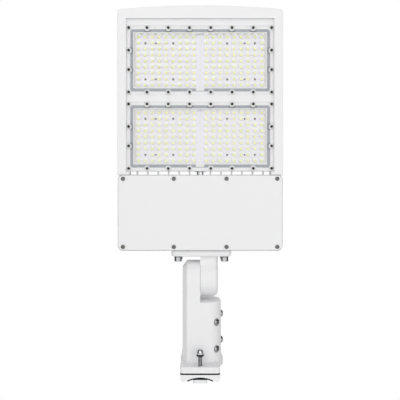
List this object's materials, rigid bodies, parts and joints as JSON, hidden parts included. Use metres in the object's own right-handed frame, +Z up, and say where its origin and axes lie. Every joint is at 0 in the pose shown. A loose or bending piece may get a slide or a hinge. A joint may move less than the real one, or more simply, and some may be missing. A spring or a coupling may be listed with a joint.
{
  "type": "area light",
  "caption": "White LED area light with clear lens bays and a driver box on a finned head that tilts on a slip-fitter arm with a round-pole adapter.",
  "frame": {"origin": "midway between the two pole studs, in the plane of the two flat lands beside the hollow pole seat", "axes": "+X to the right seen from the lit side, +Y away from the lit side along the pole's axis, +Z up the arm towards the head"},
  "size_m": [0.3314, 0.132, 0.7473],
  "materials": {
    "white_paint": "satin white polyester powder coat over die-cast aluminium",
    "clear_lens": "clear moulded polycarbonate",
    "grey_silicone": "grey silicone seal",
    "black_rubber": "black EPDM rubber",
    "white_board": "aluminium-core board with white solder mask",
    "led_phosphor": "yellow phosphor in silicone",
    "dark_screw": "blackened steel",
    "steel": "stainless steel",
    "zinc_bar": "zinc-plated steel",
    "friction_fibre": "friction fibre",
    "conduit_metal": "white coated aluminium tube",
    "driver_case": "extruded case filled with potting",
    "black_plastic": "moulded case",
    "white_plastic": "moulded terminal block"
  },
  "bodies": {
    "arm": {"arm": "white_paint", "pivot_bolt": "steel", "pivot_washer": "steel", "pivot_nut": "steel", "friction_ring": "friction_fibre", "flange_gasket": "black_rubber", "pole_adapter": "white_paint", "seat_gasket": "black_rubber"},
    "head": {"housing": "white_paint", "driver_cover": "white_paint", "driver_cover_gasket": "black_rubber", "driver_cover_screws": "steel", "wire_conduit": "conduit_metal", "lower_lens_plate": "clear_lens", "upper_lens_plate": "clear_lens", "lower_lens_gasket": "grey_silicone", "upper_lens_gasket": "grey_silicone", "lower_lens_screws": "dark_screw", "upper_lens_screws": "dark_screw", "lower_left_led_board": "white_board", "lower_right_led_board": "white_board", "upper_left_led_board": "white_board", "upper_right_led_board": "white_board", "lower_left_leds": "led_phosphor", "lower_right_leds": "led_phosphor", "upper_left_leds": "led_phosphor", "upper_right_leds": "led_phosphor", "board_screws": "dark_screw", "led_driver": "driver_case", "driver_screws": "steel", "surge_protector": "black_plastic", "terminal_block": "white_plastic", "cable_bushing": "black_rubber", "knuckle_lug": "white_paint", "knuckle_gasket": "grey_silicone", "knuckle_bolts": "steel", "knuckle_washers": "steel"},
    "pole_clamp": {"clamp_bar": "zinc_bar", "pole_studs": "steel", "dome_nuts": "steel"},
    "lower_front_set_screw": {"lower_front_set_screw": "steel"},
    "lower_side_set_screw": {"lower_side_set_screw": "steel"},
    "upper_front_set_screw": {"upper_front_set_screw": "steel"},
    "upper_side_set_screw": {"upper_side_set_screw": "steel"}
  },
  "joints": [
    {"name": "tilt", "type": "hinge", "parent": "arm", "child": "head", "pos_m": [0, 0, 0.1925], "axis": [1, 0, 0], "range_deg": [-90, 90]},
    {"name": "clamp_slide", "type": "slide", "parent": "arm", "child": "pole_clamp", "axis": [0, 0, -1], "range_m": [0, 0.018]},
    {"name": "lower_front_set_screw_travel", "type": "slide", "parent": "arm", "child": "lower_front_set_screw", "axis": [0.7071, -0.7071, 0], "range_m": [0, 0.01]},
    {"name": "lower_side_set_screw_travel", "type": "slide", "parent": "arm", "child": "lower_side_set_screw", "axis": [1, 0, 0], "range_m": [0, 0.01]},
    {"name": "upper_front_set_screw_travel", "type": "slide", "parent": "arm", "child": "upper_front_set_screw", "axis": [0.7071, -0.7071, 0], "range_m": [0, 0.01]},
    {"name": "upper_side_set_screw_travel", "type": "slide", "parent": "arm", "child": "upper_side_set_screw", "axis": [1, 0, 0], "range_m": [0, 0.01]}
  ]
}
